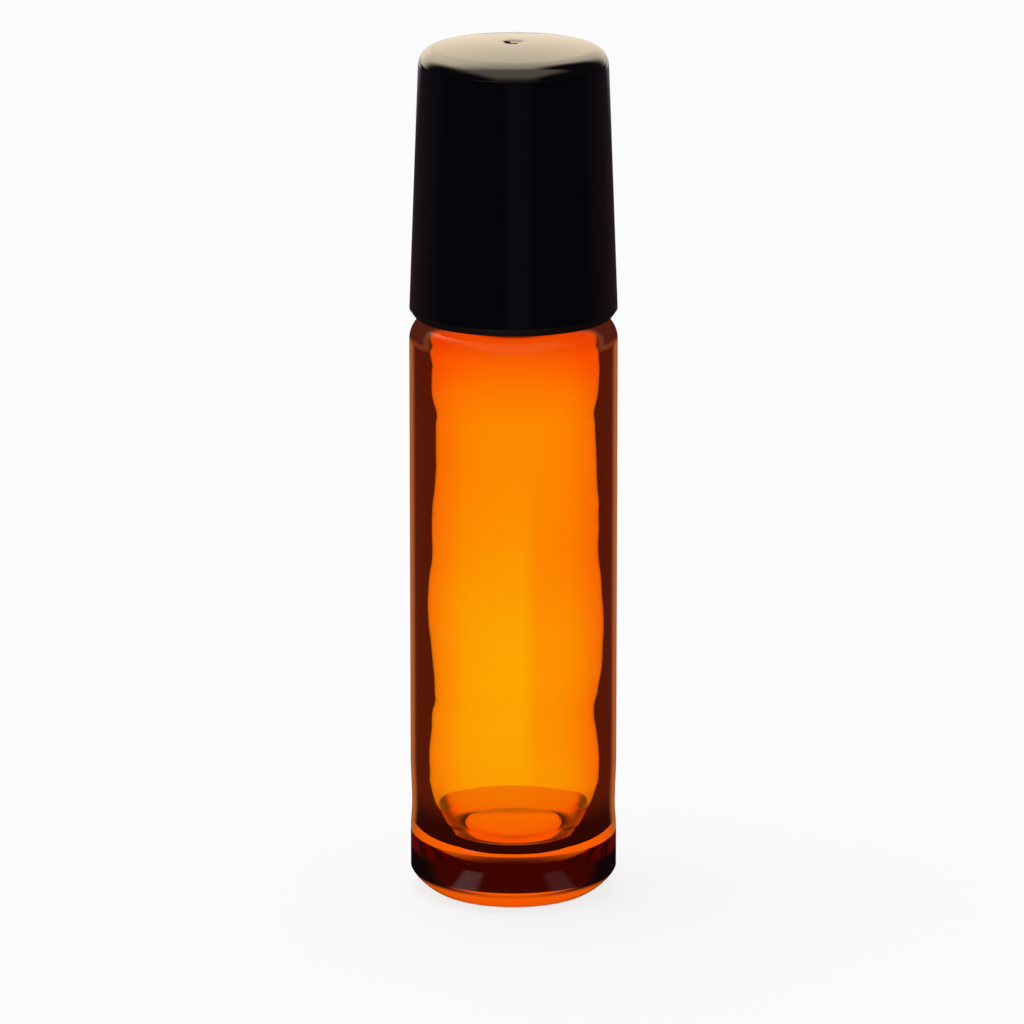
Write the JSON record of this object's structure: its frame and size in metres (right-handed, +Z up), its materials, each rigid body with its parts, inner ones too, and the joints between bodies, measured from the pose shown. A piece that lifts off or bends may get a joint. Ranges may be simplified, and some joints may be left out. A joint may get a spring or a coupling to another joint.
{
  "type": "roll-on bottle",
  "caption": "Slim amber glass bottle with a thick foot, a rolling ball held in its neck and a tall tapered black screw cap.",
  "frame": {"origin": "centre of the flat ring under the base, on the surface that the bottle stands on", "axes": "+Z up along the axis of bottle and cap; X and Y are alike except for where the threads start"},
  "size_m": [0.02, 0.02, 0.0836],
  "materials": {
    "amber_glass": "clear amber, slightly wavy moulded glass",
    "housing_plastic": "natural translucent",
    "ball_steel": "polished stainless steel",
    "cap_plastic": "high gloss black",
    "seal_plastic": "soft natural"
  },
  "bodies": {
    "bottle": {"glass_bottle": "amber_glass", "roller_housing": "housing_plastic"},
    "ball": {"roller_ball": "ball_steel"},
    "seal": {"ball_seal": "seal_plastic"},
    "cap": {"screw_cap": "cap_plastic"}
  },
  "joints": [
    {"name": "ball_roll", "type": "hinge", "parent": "bottle", "child": "ball", "pos_m": [0, 0, 0.073], "axis": [1, 0, 0], "continuous": true},
    {"name": "cap_lift", "type": "slide", "parent": "bottle", "child": "seal", "axis": [0, 0, 1], "range_m": [0, 0.0256]},
    {"name": "cap_turn", "type": "hinge", "parent": "seal", "child": "cap", "pos_m": [0, 0, 0.062], "axis": [0, 0, 1], "range_deg": [0, 2880]}
  ],
  "couplings": [
    {"joint": "cap_lift", "follows": "cap_turn", "m_per_rad": 0.0005093}
  ]
}
